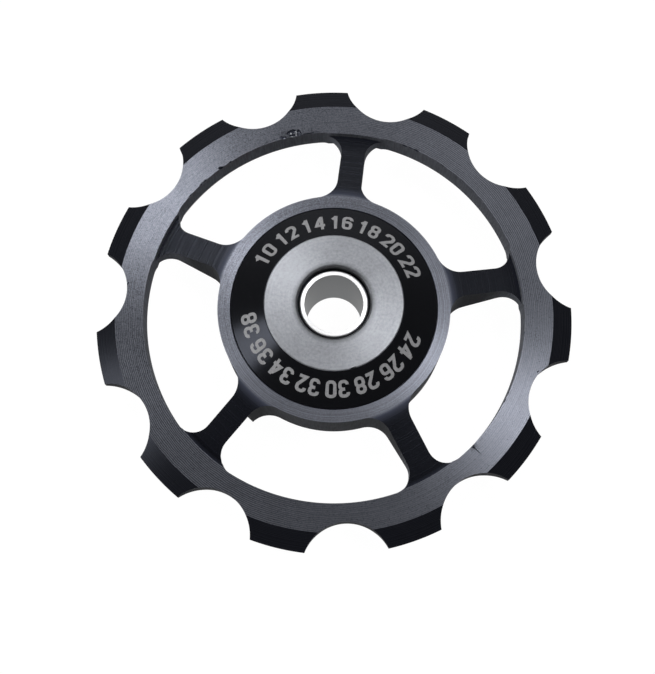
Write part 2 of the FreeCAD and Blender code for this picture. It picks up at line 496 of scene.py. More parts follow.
@dataclass(frozen=True)
class MilledWall:
    """Milled and anodised wall, with the cutter's faint upright marks, paler on the hub, and with painted
    light that makes it paler on the rim.
    """

    name: str
    colour: Colour = (0.030, 0.0315, 0.036)
    rough: float = 0.5
    rough_give: float = 0.05
    specular: float = 0.003
    hub_r: float = 10.25
    hub_gain: float = 1.7
    hub_fade: float = 0.8
    rim_low_r: float = 16.0
    rim_high_r: float = 17.2
    rim_gain: float = 4.6
    rim_fade_in: float = 2.5
    rim_fade_out: float = 0.5
    grain_per_mm: float = 9.0
    grain_tone: float = 0.15
    marks_per_mm: float = 7.0
    mark_stretch: float = 0.08
    depth: float = 0.004

    def make(self) -> bpy.types.Material:
        """Builds the material.

        Returns:
            The new material.
        """
        s = Shading(self.name)
        grain = s.noise(self.grain_per_mm, 3.0, 0.6)
        stretched = s.put("ShaderNodeMapping", {"Vector": s.place, "Scale": (1.0, 1.0, self.mark_stretch)})
        marks = {"Vector": stretched, "Scale": self.marks_per_mm / MM, "Detail": 1.0}
        upright = s.put("ShaderNodeTexNoise", marks, out="Fac")
        give = self.grain_tone
        tone = s.plus(s.vary(grain, 1 - give, 1 + give), s.vary(upright, -give, give))
        radius = s.radius()
        # Painted light: the walls at the rim, which lie in shade, are painted paler.
        inside = s.span(radius, self.rim_low_r - self.rim_fade_in, self.rim_low_r)
        outside = s.span(radius, self.rim_high_r, self.rim_high_r + self.rim_fade_out, 1.0, 0.0)
        tone = s.times(tone, s.between(s.times(inside, outside), 1.0, self.rim_gain))
        hub = s.span(radius, self.hub_r, self.hub_r + self.hub_fade, self.hub_gain, 1.0, smooth=True)
        tone = s.times(tone, hub)
        s.surface(
            Base_Color=s.scaled(self.colour, tone),
            Roughness=s.vary(grain, self.rough - self.rough_give, self.rough + self.rough_give),
            Specular_IOR_Level=self.specular,
        )
        s.bump(s.plus(grain, upright), self.depth)
        return s.material


@dataclass(frozen=True)
class GlossBlack:
    """Smooth black anodising of the covers, with hair-fine turning marks."""

    name: str
    colour: Colour = (0.0056, 0.0058, 0.0068)
    rough: float = 0.22
    specular: float = 0.17
    anisotropy: float = 0.2
    tint: Colour = (0.76, 0.82, 1.0)
    dust: Colour = (0.03, 0.03, 0.032)
    dust_share: float = 0.35
    dust_per_mm: float = 5.0
    dust_from: float = 0.62
    dust_to: float = 0.75
    marks_per_mm: float = 16.0
    marks_waver: float = 0.4
    smoother: float = 0.04
    rougher: float = 0.05
    depth: float = 0.0003

    def make(self) -> bpy.types.Material:
        """Builds the material.

        Returns:
            The new material.
        """
        s = Shading(self.name)
        marks = s.rings(self.marks_per_mm, 1.0, waver=self.marks_waver)
        dust = s.span(s.noise(self.dust_per_mm, 4.0, 0.7), self.dust_from, self.dust_to)
        s.surface(
            Base_Color=s.blend(s.times(dust, self.dust_share), self.colour, self.dust),
            Roughness=s.vary(marks, self.rough - self.smoother, self.rough + self.rougher),
            Tangent=s.outward(),
            Anisotropic=self.anisotropy,
            Specular_IOR_Level=self.specular,
            Specular_Tint=self.tint,
        )
        s.bump(marks, self.depth)
        return s.material


@dataclass(frozen=True)
class SatinSteel:
    """Steel with a fine satin that runs round the axle, darker towards its hole."""

    name: str
    colour: Colour = (0.302, 0.312, 0.337)
    rough: float = 0.42
    rough_give: float = 0.05
    metal: float = 0.9
    anisotropy: float = 0.5
    cloud_per_mm: float = 0.55
    cloud_tone: float = 0.05
    fine_per_mm: float = 4.0
    fine_tone: float = 0.13
    rings_per_mm: float = 6.0
    rings_waver: float = 2.0
    rings_tone: float = 0.03
    hole_r: float = 3.18
    dull_width: float = 0.6
    dull_tone: float = 0.4
    depth: float = 0.002

    def make(self) -> bpy.types.Material:
        """Builds the material.

        Returns:
            The new material.
        """
        s = Shading(self.name)
        cloud = s.noise(self.cloud_per_mm, 2.0, 0.6)
        fine = s.noise(self.fine_per_mm, 3.0, 0.75)
        rings = s.rings(self.rings_per_mm, 2.0, waver=self.rings_waver)
        tone = s.vary(cloud, 1 - self.cloud_tone, 1 + self.cloud_tone)
        tone = s.plus(tone, s.vary(fine, -self.fine_tone, self.fine_tone, 0.15))
        tone = s.plus(tone, s.vary(rings, -self.rings_tone, self.rings_tone, 0.15))
        # Darker towards the hole.
        hole_dark_to = self.hole_r + self.dull_width
        hole_dark = s.span(s.radius(), self.hole_r, hole_dark_to, self.dull_tone, 1.0, smooth=True)
        s.surface(
            Base_Color=s.scaled(self.colour, s.times(tone, hole_dark)),
            Roughness=s.vary(fine, self.rough - self.rough_give, self.rough + self.rough_give),
            Tangent=s.outward(),
            Metallic=self.metal,
            Anisotropic=self.anisotropy,
        )
        s.bump(s.plus(fine, rings), self.depth)
        return s.material


@dataclass(frozen=True)
class GroundSteel:
    """Ground bearing steel, bright, with rings round the axle.

    edge: how bright the steel is at a glancing look.
    """

    name: str
    colour: Colour = (0.56, 0.57, 0.59)
    rough: float = 0.22
    rings_per_mm: float = 14.0
    edge: float = 1.0
    anisotropy: float = 0.4
    rings_tone: float = 0.06
    fine_per_mm: float = 10.0
    fine_tone: float = 0.03
    smoother: float = 0.05
    rougher: float = 0.06
    depth: float = 0.0015

    def make(self) -> bpy.types.Material:
        """Builds the material.

        Returns:
            The new material.
        """
        s = Shading(self.name)
        marks = s.rings(self.rings_per_mm, 2.0)
        fine = s.vary(s.noise(self.fine_per_mm), -self.fine_tone, self.fine_tone)
        tone = s.plus(s.vary(marks, 1 - self.rings_tone, 1 + self.rings_tone), fine)
        s.surface(
            Base_Color=s.scaled(self.colour, tone),
            Roughness=s.vary(marks, self.rough - self.smoother, self.rough + self.rougher),
            Tangent=s.outward(),
            Metallic=1.0,
            Anisotropic=self.anisotropy,
            Specular_Tint=(self.edge, self.edge, self.edge),
        )
        s.bump(marks, self.depth)
        return s.material


@dataclass(frozen=True)
class Speckled:
    """Plain solid stuff with a fine mottle: ink, ceramic, plastic or rubber."""

    name: str
    colour: Colour
    second: Colour
    rough: float
    mottle_per_mm: float
    depth: float
    rough_give: float = 0.05

    def make(self) -> bpy.types.Material:
        """Builds the material.

        Returns:
            The new material.
        """
        s = Shading(self.name)
        mottle = s.noise(self.mottle_per_mm, 3.0, 0.6)
        s.surface(
            Base_Color=s.blend(s.span(mottle, 0.35, 0.65), self.colour, self.second),
            Roughness=s.vary(mottle, self.rough - self.rough_give, self.rough + self.rough_give),
        )
        s.bump(mottle, self.depth)
        return s.material


@dataclass(frozen=True)
class Corner:
    """A corner of a turned outline, in millimetres from the axle and the mid plane.

    round_off: radius that the corner is rounded with, none at zero.
    """

    radius: float
    height: float
    round_off: float = 0.0

    def on(self, side: Side) -> "Corner":
        """The front's corner, or its mirror image on the rear."""
        return Corner(self.radius, self.height * side.value, self.round_off)


def both_faces(front: list[Corner]) -> list[Corner]:
    """The closed outline of a piece that is alike on both faces."""
    return front + [corner.on(Side.REAR) for corner in reversed(front)]


def rounded_corner(here: Vector, back: Vector, ahead: Vector, radius: float, steps: int) -> list[Vector]:
    """Points of the arc that rounds a corner.

    Args:
        here: the corner.
        back: the way to the point before it.
        ahead: the way to the point after it.
        radius: radius of the rounding.
        steps: parts of the arc.

    Returns:
        The arc's points, the first on the side of the point before.
    """
    back, ahead = back.normalized(), ahead.normalized()
    half = back.angle(ahead) / 2
    reach = radius / math.tan(half)
    start, end = here + back * reach, here + ahead * reach
    centre = here + (back + ahead).normalized() * (radius / math.sin(half))
    turn = (start - centre).angle_signed(end - centre)
    points = []
    for step in range(steps + 1):
        arm = start - centre
        arm.rotate(Matrix.Rotation(-turn * step / steps, 2))
        points.append(centre + arm)
    return points


def polar(radius: float, azimuth: float) -> Vector:
    """Point in the wheel's plane at a radius and an angle in radians."""
    return Vector((radius * math.cos(azimuth), radius * math.sin(azimuth)))


def arc(centre: tuple[float, float], radius: float, start: float, end: float, steps: int) -> list[Vector]:
    """Points along an arc, both ends included, angles in radians."""
    return [Vector(centre) + polar(radius, start + (end - start) * i / steps) for i in range(steps + 1)]


def level_ring(work: bmesh.types.BMesh, radius: float, height: float, sides: int) -> list:
    """Adds a level ring of corners round the axle.

    Args:
        work: mesh that they go into.
        radius, height: where the ring lies, in metres.
        sides: how many corners it has.

    Returns:
        The corners in order.
    """
    spots = [polar(radius, math.tau * i / sides) for i in range(sides)]
    return [work.verts.new((spot.x, spot.y, height)) for spot in spots]


def bridge(work: bmesh.types.BMesh, hoops: list[list[bmesh.types.BMVert]]) -> None:
    """Joins each closed hoop of corners to the following one with faces.

    Args:
        work: mesh that the faces go into.
        hoops: its hoops in order, each with as many corners as the others.
    """
    for hoop, following in zip(hoops, hoops[1:]):
        for i in range(len(hoop)):
            ahead = (i + 1) % len(hoop)
            work.faces.new((hoop[i], hoop[ahead], following[ahead], following[i]))


def thicken(work: bmesh.types.BMesh, height: float) -> None:
    """Raises flat faces into solids.

    Args:
        work: mesh with the faces, changed in place.
        height: how far they are raised, in metres.
    """
    grown = bmesh.ops.extrude_face_region(work, geom=list(work.faces))
    top = [item for item in grown["geom"] if isinstance(item, bmesh.types.BMVert)]
    bmesh.ops.translate(work, verts=top, vec=(0, 0, height))
    bmesh.ops.recalc_face_normals(work, faces=work.faces)


def in_scene(name: str, data: bpy.types.ID) -> bpy.types.Object:
    """Puts a new object in the scene.

    Args:
        name: name of the object.
        data: its mesh, lamp or camera.

    Returns:
        The object, at the origin.
    """
    made = bpy.data.objects.new(name, data)
    bpy.context.scene.collection.objects.link(made)
    return made


def smooth(mesh: bpy.types.Mesh, under_deg: float = SMOOTH_UNDER_DEG) -> None:
    """Shades a mesh smooth, apart from edges as sharp as this angle."""
    mesh.shade_smooth()
    mesh.set_sharp_from_angle(angle=math.radians(under_deg))


def shown(name: str, work: bmesh.types.BMesh) -> bpy.types.Object:
    """Puts a finished mesh in the scene.

    Args:
        name: name of the object and its mesh.
        work: the mesh, which is freed.

    Returns:
        The new object, at the origin, shaded smooth up to the sharp edges.
    """
    mesh = bpy.data.meshes.new(name)
    work.to_mesh(mesh)
    work.free()
    smooth(mesh)
    return in_scene(name, mesh)


@dataclass(frozen=True)
class Lathe:
    """Turns closed outlines round the axle into meshes with soft edges.

    steps: faces round the axle.
    rounding_steps: faces across a rounded corner.
    support: width of the narrow face beside a rounding, which keeps the shading of
        the flat next to it straight.
    """

    steps: int = 360
    rounding_steps: int = 3
    support: float = 0.04

    def rounded(self, corners: list[Corner]) -> list[tuple[float, float]]:
        """The outline with its corners rounded.

        Args:
            corners: the closed outline.

        Returns:
            Its points as radius and height.
        """
        points: list[tuple[float, float]] = []
        for number, corner in enumerate(corners):
            here = Vector((corner.radius, corner.height))
            if not corner.round_off:
                points.append(tuple(here))
                continue
            before = corners[number - 1]
            after = corners[(number + 1) % len(corners)]
            back = Vector((before.radius, before.height)) - here
            ahead = Vector((after.radius, after.height)) - here
            bend = rounded_corner(here, back, ahead, corner.round_off, self.rounding_steps)
            reach = (bend[0] - here).length
            support = min(self.support, (min(back.length, ahead.length) - reach) / 3)
            points.append(tuple(bend[0] + back.normalized() * support))
            points.extend(tuple(point) for point in bend)
            points.append(tuple(bend[-1] + ahead.normalized() * support))
        return points

    def turn(self, name: str, corners: list[Corner]) -> bpy.types.Object:
        """Makes the closed ring that an outline sweeps.

        Args:
            name: name of the new object.
            corners: the closed outline.

        Returns:
            The object, at the origin.
        """
        work = bmesh.new()
        outline = self.rounded(corners)
        hoops = [level_ring(work, radius * MM, height * MM, self.steps) for radius, height in outline]
        bridge(work, hoops + hoops[:1])
        bmesh.ops.recalc_face_normals(work, faces=work.faces)
        return shown(name, work)


def settle(piece: bpy.types.Object, body: Body, slot: Slot | None, *nodes: str) -> None:
    """Attaches a finished piece to its body and hides the nodes that it stands for.

    Args:
        piece: the piece.
        body: the body it moves with.
        slot: the record's slot of its finish, if it has one; not used.
        nodes: the CAD nodes that it replaces.
    """
    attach(piece, body.value)
    if nodes:
        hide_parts(*nodes)
    LOG.info("%s: %d faces, rides %s", piece.name, len(piece.data.polygons), body.value)


def dress(piece: bpy.types.Object, *materials: bpy.types.Material) -> None:
    """Replaces a piece's materials by these.

    Args:
        piece: the piece.
        materials: its new materials, in the order of its faces' numbers.
    """
    piece.data.materials.clear()
    for material in materials:
        piece.data.materials.append(material)


def geometry_tree(name: str, start: str, values: dict, result: str) -> tuple:
    """Starts a geometry node tree with a named input for each value and one result.

    Args:
        name: name of the tree.
        start: name of the geometry that it starts from.
        values: values that its other inputs will be given, by name.
        result: name of the result.

    Returns:
        The tree, its inputs by name, and the socket that takes the result.
    """
    tree = bpy.data.node_groups.new(name, "GeometryNodeTree")
    sockets = {start: "Geometry"} | {key: SOCKET_KINDS[type(value)] for key, value in values.items()}
    for socket, kind in sockets.items():
        tree.interface.new_socket(socket, in_out="INPUT", socket_type=f"NodeSocket{kind}")
    tree.interface.new_socket(result, in_out="OUTPUT", socket_type="NodeSocketGeometry")
    return tree, tree.nodes.new("NodeGroupInput").outputs, tree.nodes.new("NodeGroupOutput").inputs[0]


def united(tree: bpy.types.NodeTree, solids: Socket) -> Socket:
    """Joins overlapping solids of one geometry into clean ones."""
    inputs = {"Mesh 2": solids, "Self Intersection": True}
    return add_node(tree, "GeometryNodeMeshBoolean", inputs, operation="UNION", solver="EXACT")


def round_the_axle(tree: bpy.types.NodeTree, cutter: Socket, count: Socket, first: Socket) -> Socket:
    """Sets even copies of a cutter round the axle.

    Args:
        tree: the tree that they go into.
        cutter: the cutter, as it stands at the angle zero.
        count: how many copies there are.
        first: angle of the first copy, in radians.

    Returns:
        All the copies as one geometry.
    """
    put = partial(add_node, tree)
    share = put("ShaderNodeMath", {0: put("GeometryNodeInputIndex", {}), 1: count}, operation="DIVIDE")
    angle = put("ShaderNodeMath", {0: share, 1: math.tau, 2: first}, operation="MULTIPLY_ADD")
    turn = put("FunctionNodeEulerToRotation", {0: put("ShaderNodeCombineXYZ", {"Z": angle})})
    points = put("GeometryNodePoints", {"Count": count})
    placed = put("GeometryNodeInstanceOnPoints", {"Points": points, "Instance": cutter, "Rotation": turn})
    return put("GeometryNodeRealizeInstances", {"Geometry": placed})


def grown_mesh(start: bpy.types.Object, tree: bpy.types.NodeTree, values: dict) -> bpy.types.Mesh:
    """Evaluates a geometry node tree on an object.

    Args:
        start: object that gives the tree its geometry.
        tree: the node tree.
        values: values of the tree's inputs by name.

    Returns:
        The result as a plain mesh.
    """
    modifier = start.modifiers.new(tree.name, "NODES")
    modifier.node_group = tree
    for item in tree.interface.items_tree:
        if item.in_out == "INPUT" and item.name in values:
            modifier[item.identifier] = values[item.name]
    depsgraph = bpy.context.evaluated_depsgraph_get()
    mesh = bpy.data.meshes.new_from_object(start.evaluated_get(depsgraph), depsgraph=depsgraph)
    start.modifiers.remove(modifier)
    return mesh


@dataclass(frozen=True)
class Gouge:
    """A knock in the wheel: a long or round bite with a ragged outline.

    radius, azimuth: place of its middle, millimetres and degrees.
    length, width, depth: its size in millimetres.
    heading: direction of its length, in degrees from the outward direction.
    sunk: how far below the rim's face the surface lies that it is knocked into.
    """

    radius: float
    azimuth: float
    length: float
    width: float
    depth: float
    heading: float
    sunk: float = 0.0


@dataclass
class ToothedWheel:
    """Rim, teeth, spokes and hub: one machined piece of aluminium.

    window_overcut: how far the windows reach past the recess into the rim.
    gouges: knocks and scratches, with a seed and a raggedness for their outlines.
    slipped_spoke: number of the spoke that a slip of the cutter thinned, from 0.
    slip: places along that spoke, each with the lean of the cut.
    slip_skin: web that is left above the cut.
    slip_lip: how far the cut goes under the spoke at its top, for a lean of 1.
    slip_reach: how far the cutter stands out into the window.
    wall_limit: upright part of the normal below which a face is a milled wall.
    """

    teeth: int = 11
    chain_pitch: float = 12.7
    roller_d: float = 7.75
    roller_clearance: float = 0.105
    tooth_height: float = 2.69
    tip_thickness: float = 0.8
    first_seat_deg: float = 11.1
    rim_thickness: float = 2.4
    rim_wall: float = 1.74
    rim_face_width: float = 2.65
    spokes: int = 5
    first_spoke_deg: float = 11.1
    spoke_width: float = 2.16
    web_at_rim: float = 1.1
    window_overcut: float = 0.13
    outer_corner_r: float = 1.75
    inner_corner_r: float = 2.0
    hub_r: float = 10.2
    hub_width: float = 5.58
    hub_ring_width: float = 1.1
    hub_edge_r: float = 1.6
    cover_seat_depth: float = 0.54
    bearing_r: float = 7.5
    edge_break: float = 0.03
    seat_steps: int = 128
    corner_steps: int = 12
    gouges: tuple[Gouge, ...] = (
        Gouge(17.38, 103.3, 0.75, 0.50, 0.18, 100),
        Gouge(17.20, 100.6, 0.80, 0.46, 0.22, 10),
        Gouge(17.02, 102.0, 1.30, 0.26, 0.18, 86),
        Gouge(17.52, 101.9, 0.50, 0.18, 0.14, 60),
        Gouge(17.05, 105.7, 0.70, 0.34, 0.12, 70),
        Gouge(17.01, 97.9, 1.10, 0.13, 0.12, 90),
        Gouge(17.06, 95.4, 0.80, 0.07, 0.08, 88),
        Gouge(17.08, 111.0, 0.60, 0.07, 0.08, 97),
        Gouge(17.14, 108.6, 0.45, 0.05, 0.06, 99),
        Gouge(17.00, 127.3, 0.56, 0.26, 0.30, 72),
        Gouge(16.97, 124.0, 0.26, 0.12, 0.20, 90),
        Gouge(16.97, 134.8, 0.72, 0.14, 0.24, 88),
        Gouge(16.98, 133.6, 0.30, 0.16, 0.20, 80),
        Gouge(16.96, 140.1, 0.42, 0.14, 0.22, 92),
        Gouge(18.57, 172.0, 0.30, 0.12, 0.14, 60),
        Gouge(17.80, 173.6, 1.60, 0.035, 0.03, 158),
        Gouge(16.96, 67.4, 0.60, 0.12, 0.20, 88),
        Gouge(16.97, 65.3, 0.44, 0.12, 0.20, 92),
        Gouge(16.98, 63.5, 0.52, 0.15, 0.22, 90),
        Gouge(16.96, 54.0, 0.40, 0.08, 0.16, 90),
        Gouge(17.02, 314.9, 0.34, 0.40, 0.22, 90),
        Gouge(17.45, 314.9, 1.05, 0.10, 0.10, 0),
        Gouge(16.98, 331.7, 0.40, 0.07, 0.10, 90),
        Gouge(16.98, 334.2, 0.30, 0.06, 0.08, 92),
        Gouge(16.96, 353.2, 0.34, 0.09, 0.12, 88),
        Gouge(18.72, 343.0, 0.26, 0.10, 0.14, 70),
        Gouge(20.32, 227.4, 0.14, 0.09, 0.05, 40, 0.38),
    )
    slipped_spoke: int = 3
    slip: tuple[tuple[float, float], ...] = (
        (11.85, 0.2),
        (13.0, 0.2),
        (14.0, 0.2),
        (14.9, 0.2),
        (15.3, 0.19),
        (15.7, 0.17),
        (16.1, 0.12),
        (16.5, -0.02),
    )
    slip_skin: float = 0.12
    slip_lip: float = 0.02
    slip_reach: float = 1.0
    gouge_seed: int = 11
    gouge_raggedness: float = 0.16
    wall_limit: float = 0.3
    land_finish: AnodisedTurning = AnodisedTurning(
        "turned_anodising",
        patches=(WornPatch(-4.49, 16.75, 0.6), WornPatch(12.1, -12.1, 0.45)),
        flakes=(
            WornPatch(-3.80, 16.47, 0.16),
            WornPatch(-3.60, 16.51, 0.1),
            WornPatch(-3.45, 16.75, 0.08),
            WornPatch(-3.43, 16.92, 0.08),
            WornPatch(-3.47, 17.08, 0.07),
            WornPatch(-3.92, 16.9, 0.08),
        ),
    )
    bevel_finish: GlossBlack = GlossBlack("bevel_anodising", (0.0078, 0.0084, 0.0115), 0.26, 0.15)
    wall_finish: MilledWall = MilledWall("milled_wall")

    @property
    def pitch_r(self) -> float:
        """Radius of the circle that the chain's rollers lie on."""
        return self.chain_pitch / (2 * math.sin(math.pi / self.teeth))

    @property
    def seat_r(self) -> float:
        """Radius of one roller seat."""
        return self.roller_d / 2 + self.roller_clearance

    @property
    def rim_inner_r(self) -> float:
        """Radius of the recess inside the rim."""
        return self.pitch_r - self.seat_r - self.rim_wall

    @property
    def window_r(self) -> float:
        """Radius of the windows' outer arcs."""
        return self.rim_inner_r + self.window_overcut

    @property
    def outer_corner(self) -> tuple[float, float]:
        """Centre of a window's corner at the rim, along and across the spoke beside it."""
        across = self.spoke_width / 2 + self.outer_corner_r
        return math.sqrt((self.window_r - self.outer_corner_r) ** 2 - across ** 2), across

    def blank(self) -> bpy.types.Object:
        """The wheel as it leaves the lathe, without windows and teeth.

        Returns:
            The blank, which the milling uses up.
        """
        tip_r = self.pitch_r - self.seat_r + self.tooth_height
        face_r = self.rim_inner_r + self.rim_face_width
        hub_half = self.hub_width / 2
        seat_z = hub_half - self.cover_seat_depth
        rim_half = self.rim_thickness / 2
        front = [
            Corner(self.bearing_r, seat_z, self.edge_break),
            Corner(self.hub_r - self.hub_ring_width, seat_z),
            Corner(self.hub_r - self.hub_ring_width, hub_half, self.edge_break),
            Corner(self.hub_r, hub_half, self.hub_edge_r),
            Corner(self.rim_inner_r, self.web_at_rim / 2),
            Corner(self.rim_inner_r, rim_half, self.edge_break),
            Corner(face_r, rim_half, self.edge_break),
            Corner(tip_r, self.tip_thickness / 2, self.edge_break),
        ]
        return Lathe().turn("wheel_blank", both_faces(front))

    def half_window(self) -> list[Vector]:
        """Outline of a window's half that lies beside the spoke along +X.

        Returns:
            Its points, from the middle of the hub's side to the middle of the rim's.
        """
        outer_x, outer_y = self.outer_corner
        inner_y = self.spoke_width / 2 + self.inner_corner_r
        inner_x = math.sqrt((self.hub_r + self.inner_corner_r) ** 2 - inner_y ** 2)
        outer_turn = math.atan2(outer_y, outer_x)
        inner_turn = math.atan2(inner_y, inner_x)
        middle = math.pi / self.spokes
        steps = self.corner_steps
        hub_side = arc((0, 0), self.hub_r, middle, inner_turn, steps)
        inner = arc((inner_x, inner_y), self.inner_corner_r, inner_turn + math.pi, math.pi * 1.5, steps)
        outer = arc((outer_x, outer_y), self.outer_corner_r, -math.pi / 2, outer_turn, steps)
        rim_side = arc((0, 0), self.window_r, outer_turn, middle, 2 * steps)
        return hub_side[:-1] + inner + outer + rim_side[1:]

    def window_cutter(self) -> bpy.types.Object:
        """Prism of one window, beside the spoke along +X.

        Returns:
            The cutter, which the milling uses up.
        """
        half = self.half_window()
        middle = math.pi / self.spokes
        other = []
        for point in reversed(half[1:-1]):
            other.append(polar(point.length, 2 * middle - math.atan2(point.y, point.x)))
        work = bmesh.new()
        work.faces.new([work.verts.new((p.x * MM, p.y * MM, -self.hub_width * MM)) for p in half + other])
        thicken(work, 2 * self.hub_width * MM)
        return shown("window_cutter", work)

    def spoke_side(self, along: float) -> float:
        """Distance of a window's edge from the spoke's middle.

        Args:
            along: place along the spoke, measured from the axle.

        Returns:
            The distance.
        """
        corner_x, corner_y = self.outer_corner
        past = max(0.0, along - corner_x)
        return corner_y - math.sqrt(self.outer_corner_r ** 2 - past ** 2)

    def slip_cutter(self) -> bpy.types.Object:
        """Wedge that a slip of the cutter took from under one spoke's side.

        It starts with a step near the hub and runs out at the rim.

        Returns:
            The cutter, which the milling uses up.
        """
        low = -self.hub_width
        fall = (self.hub_width - self.web_at_rim) / 2 / (self.rim_inner_r - self.hub_r)
        azimuth = math.radians(self.first_spoke_deg) + math.tau * self.slipped_spoke / self.spokes
        turn = Matrix.Rotation(azimuth, 3, "Z")
        work = bmesh.new()
        rails = []
        for along, lean in self.slip:
            top = self.hub_width / 2 - fall * (along - self.hub_r) - self.slip_skin
            side = self.spoke_side(along)
            outside = side + self.slip_reach
            lip, foot = side - lean * self.slip_lip, side - lean * (top - low)
            section = ((lip, top), (outside, top), (outside, low), (foot, low))
            rails.append([work.verts.new(turn @ Vector((along, y, z)) * MM) for y, z in section])
        work.faces.new(rails[0])
        work.faces.new(rails[-1])
        bridge(work, rails)
        bmesh.ops.triangulate(work, faces=work.faces)
        bmesh.ops.recalc_face_normals(work, faces=work.faces)
        return shown("slip_cutter", work)

    def gouge_cutters(self) -> bpy.types.Object:
        """One mesh with a ragged lump for each knock and scratch.

        Returns:
            The cutters, which the milling uses up.
        """
        chance = random.Random(self.gouge_seed)
        work = bmesh.new()
        for gouge in self.gouges:
            made = bmesh.ops.create_icosphere(work, subdivisions=2, radius=1.0)["verts"]
            for vertex in made:
                vertex.co *= 1 + chance.uniform(-self.gouge_raggedness, self.gouge_raggedness)
            azimuth = math.radians(gouge.azimuth)
            centre = polar(gouge.radius * MM, azimuth)
            size = Matrix.Diagonal((gouge.length / 2 * MM, gouge.width / 2 * MM, gouge.depth * MM, 1.0))
            heading = Matrix.Rotation(azimuth + math.radians(gouge.heading), 4, "Z")
            place = Matrix.Translation((centre.x, centre.y, (self.rim_thickness / 2 - gouge.sunk) * MM))
            bmesh.ops.transform(work, matrix=place @ heading @ size, verts=made)
        return shown("gouge_cutters", work)

    def milling(self, values: dict) -> bpy.types.NodeTree:
        """Node tree that mills the seats, the windows and the knocks into the blank.

        Args:
            values: what its inputs will be given, by name.

        Returns:
            The tree.
        """
        tree, given, result = geometry_tree("mill_the_wheel", "Blank", values, "Wheel")
        put = partial(add_node, tree)

        def solid(name: str) -> Socket:
            """The shape of a cutter that is given as an object."""
            return put("GeometryNodeObjectInfo", {"Object": given[name]}, out="Geometry")

        sizes = {
            "Vertices": given["Seat Steps"],
            "Radius": given["Seat Radius"],
            "Depth": given["Cutter Depth"],
        }
        seat = put("GeometryNodeMeshCylinder", sizes)
        offset = put("ShaderNodeCombineXYZ", {"X": given["Pitch Radius"]})
        seat = put("GeometryNodeTransform", {"Geometry": seat, "Translation": offset})
        seats = round_the_axle(tree, seat, given["Seats"], given["First Seat"])
        windows = round_the_axle(tree, solid("Window Cutter"), given["Windows"], given["First Window"])
        wheel = given["Blank"]
        for cutter in (windows, solid("Slip Cutter"), seats, united(tree, solid("Gouge Cutters"))):
            inputs = {"Mesh 1": wheel, "Mesh 2": cutter}
            wheel = put("GeometryNodeMeshBoolean", inputs, operation="DIFFERENCE", solver="EXACT")
        wheel = put("GeometryNodeRealizeInstances", {"Geometry": wheel})
        place = put("GeometryNodeInputPosition", {})
        flat = put("ShaderNodeVectorMath", {0: place, 1: (1.0, 1.0, 0.0)}, operation="MULTIPLY")
        radius = put("ShaderNodeVectorMath", {0: flat}, out="Value", operation="LENGTH")
        bevel = {0: radius, 1: given["Bevel Radius"]}
        bevel = put("FunctionNodeCompare", bevel, data_type="FLOAT", operation="GREATER_THAN")
        rise = put("ShaderNodeSeparateXYZ", {0: put("GeometryNodeInputNormal", {})}, out=2)
        wall = {0: put("ShaderNodeMath", {0: rise}, operation="ABSOLUTE"), 1: given["Wall Limit"]}
        wall = put("FunctionNodeCompare", wall, data_type="FLOAT", operation="LESS_THAN")
        for finish, faces in (("Turned Finish", True), ("Bevel Finish", bevel), ("Wall Finish", wall)):
            inputs = {"Geometry": wheel, "Selection": faces, "Material": given[finish]}
            wheel = put("GeometryNodeSetMaterial", inputs)
        tree.links.new(wheel, result)
        return tree

    def mill(self, blank: bpy.types.Object) -> bpy.types.Object:
        """Runs the milling on the blank and keeps the result as a plain mesh.

        Args:
            blank: the turned blank, which is used up.

        Returns:
            The toothed wheel.
        """
        window = self.window_cutter()
        slip = self.slip_cutter()
        gouges = self.gouge_cutters()
        values = {
            "Seats": self.teeth,
            "Pitch Radius": self.pitch_r * MM,
            "Seat Radius": self.seat_r * MM,
            "Seat Steps": self.seat_steps,
            "First Seat": math.radians(self.first_seat_deg),
            "Windows": self.spokes,
            "First Window": math.radians(self.first_spoke_deg),
            "Cutter Depth": 2 * self.rim_thickness * MM,
            "Window Cutter": window,
            "Slip Cutter": slip,
            "Gouge Cutters": gouges,
            "Bevel Radius": (self.rim_inner_r + self.rim_face_width) * MM,
            "Wall Limit": self.wall_limit,
            "Turned Finish": self.land_finish.make(),
            "Bevel Finish": self.bevel_finish.make(),
            "Wall Finish": self.wall_finish.make(),
        }
        wheel = in_scene("toothed_wheel_machined", grown_mesh(blank, self.milling(values), values))
        for used in (blank, window, slip, gouges):
            bpy.data.objects.remove(used)
        return wheel

    def build(self) -> None:
        """Turns, mills and settles the wheel."""
        wheel = self.mill(self.blank())
        smooth(wheel.data, SMOOTH_UNDER_DEG_ON_WHEEL)
        settle(wheel, Body.WHEEL, Slot.BLACK_ANODISED, "toothed_wheel")


